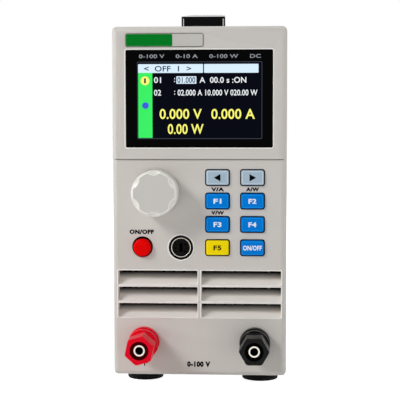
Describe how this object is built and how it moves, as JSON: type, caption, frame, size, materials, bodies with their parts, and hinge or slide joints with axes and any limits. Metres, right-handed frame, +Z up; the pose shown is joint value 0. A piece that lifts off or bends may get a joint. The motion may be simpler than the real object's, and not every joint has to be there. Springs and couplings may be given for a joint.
{
  "type": "dc electronic load",
  "caption": "Bench test load with a display, rotary knob, soft keys, louvred front vents, screw-down binding posts, strap handle and rubber feet.",
  "frame": {"origin": "on the floor, below the middle of the overall box", "axes": "+Z up, the front panel faces -Y, +X to the right seen from the front"},
  "size_m": [0.088, 0.267, 0.1956],
  "materials": {
    "bezel": "moulded off-white",
    "knob": "moulded off-white, satin",
    "window": "polished black",
    "badge": "printed green and grey, no lettering",
    "key_grey": "silicone, printed",
    "key_blue": "silicone, printed",
    "key_yellow": "silicone, printed",
    "red_button": "gloss",
    "black_plastic": "moulded",
    "red_plastic": "moulded, gloss",
    "bright_metal": "polished plating",
    "steel": "zinc plated",
    "brass": "turned",
    "case": "fine textured powder coat",
    "rubber": "matt",
    "chrome": "polished",
    "strap": "grained vinyl",
    "board": "solder mask",
    "aluminium": "extruded",
    "iron": "varnished"
  },
  "bodies": {
    "chassis": {"front_bezel": "bezel", "display_window": "window", "lcd_module": "black_plastic", "badge_plate": "badge", "front_board": "board", "key_switches": "black_plastic", "encoder_body": "steel", "encoder_nut": "steel", "power_switch": "black_plastic", "sense_socket": "black_plastic", "sense_shell": "bright_metal", "sense_contacts": "brass", "red_post_base": "red_plastic", "red_post_stem": "bright_metal", "black_post_base": "black_plastic", "black_post_stem": "bright_metal", "post_hardware": "bright_metal", "case_cover": "case", "chassis_tray": "steel", "rear_panel": "steel", "rubber_feet": "rubber", "foot_screws": "steel", "handle_anchors": "black_plastic", "handle_caps": "chrome", "handle_screws": "steel", "cover_screws": "steel", "bezel_screws": "steel", "fan_frame": "black_plastic", "fan_guard": "bright_metal", "fan_screws": "steel", "mains_inlet": "black_plastic", "inlet_blades": "brass", "data_port": "steel", "rear_screws": "steel", "heat_sink": "aluminium", "mosfets": "black_plastic", "power_board": "board", "control_board": "board", "board_pillars": "brass", "transformer": "iron", "bus_bars": "brass"},
    "knob": {"encoder_knob": "knob", "encoder_shaft": "steel"},
    "power_cap": {"power_button": "red_button"},
    "red_washer": {"red_post_washer": "bright_metal"},
    "red_nut": {"red_post_nut": "red_plastic"},
    "black_washer": {"black_post_washer": "bright_metal"},
    "black_nut": {"black_post_nut": "black_plastic"},
    "fan": {"fan_rotor": "black_plastic"},
    "strap": {"handle_strap": "strap"},
    "drawer": {"fuse_drawer": "black_plastic", "fuse": "steel"},
    "left_key": {"key_left": "key_grey"},
    "right_key": {"key_right": "key_grey"},
    "escape_key": {"key_escape": "key_blue"},
    "enter_key": {"key_enter": "key_blue"},
    "mode_key": {"key_mode": "key_blue"},
    "trigger_key": {"key_trigger": "key_blue"},
    "shift_key": {"key_shift": "key_yellow"},
    "on_off_key": {"key_on_off": "key_blue"}
  },
  "joints": [
    {"name": "knob_turn", "type": "hinge", "parent": "chassis", "child": "knob", "pos_m": [-0.0216, -0.1085, 0.1006], "axis": [0, -1, 0], "continuous": true},
    {"name": "left_press", "type": "slide", "parent": "chassis", "child": "left_key", "axis": [0, 1, 0], "range_m": [0, 0.001], "stiffness_N_per_m": 1500},
    {"name": "right_press", "type": "slide", "parent": "chassis", "child": "right_key", "axis": [0, 1, 0], "range_m": [0, 0.001], "stiffness_N_per_m": 1500},
    {"name": "escape_press", "type": "slide", "parent": "chassis", "child": "escape_key", "axis": [0, 1, 0], "range_m": [0, 0.001], "stiffness_N_per_m": 1500},
    {"name": "enter_press", "type": "slide", "parent": "chassis", "child": "enter_key", "axis": [0, 1, 0], "range_m": [0, 0.001], "stiffness_N_per_m": 1500},
    {"name": "mode_press", "type": "slide", "parent": "chassis", "child": "mode_key", "axis": [0, 1, 0], "range_m": [0, 0.001], "stiffness_N_per_m": 1500},
    {"name": "trigger_press", "type": "slide", "parent": "chassis", "child": "trigger_key", "axis": [0, 1, 0], "range_m": [0, 0.001], "stiffness_N_per_m": 1500},
    {"name": "shift_press", "type": "slide", "parent": "chassis", "child": "shift_key", "axis": [0, 1, 0], "range_m": [0, 0.001], "stiffness_N_per_m": 1500},
    {"name": "on_off_press", "type": "slide", "parent": "chassis", "child": "on_off_key", "axis": [0, 1, 0], "range_m": [0, 0.001], "stiffness_N_per_m": 1500},
    {"name": "power_press", "type": "slide", "parent": "chassis", "child": "power_cap", "axis": [0, 1, 0], "range_m": [-0.0025, 0.001]},
    {"name": "red_nut_travel", "type": "slide", "parent": "chassis", "child": "red_washer", "axis": [0, -1, 0], "range_m": [0, 0.005]},
    {"name": "red_nut_turn", "type": "hinge", "parent": "red_washer", "child": "red_nut", "pos_m": [-0.0281, -0.1225, 0.0243], "axis": [0, -1, 0], "range_deg": [0, 1800]},
    {"name": "black_nut_travel", "type": "slide", "parent": "chassis", "child": "black_washer", "axis": [0, -1, 0], "range_m": [0, 0.005]},
    {"name": "black_nut_turn", "type": "hinge", "parent": "black_washer", "child": "black_nut", "pos_m": [0.0281, -0.1225, 0.0243], "axis": [0, -1, 0], "range_deg": [0, 1800]},
    {"name": "fan_spin", "type": "hinge", "parent": "chassis", "child": "fan", "pos_m": [0, 0.1135, 0.051], "axis": [0, 1, 0], "continuous": true},
    {"name": "strap_lift", "type": "slide", "parent": "chassis", "child": "strap", "axis": [0, 0, 1], "range_m": [0, 0.0015]},
    {"name": "drawer_pull", "type": "slide", "parent": "chassis", "child": "drawer", "axis": [0, 1, 0], "range_m": [0, 0.018]}
  ],
  "couplings": [
    {"joint": "red_nut_turn", "follows": "red_nut_travel", "rad_per_m": 6283.2},
    {"joint": "black_nut_turn", "follows": "black_nut_travel", "rad_per_m": 6283.2}
  ]
}
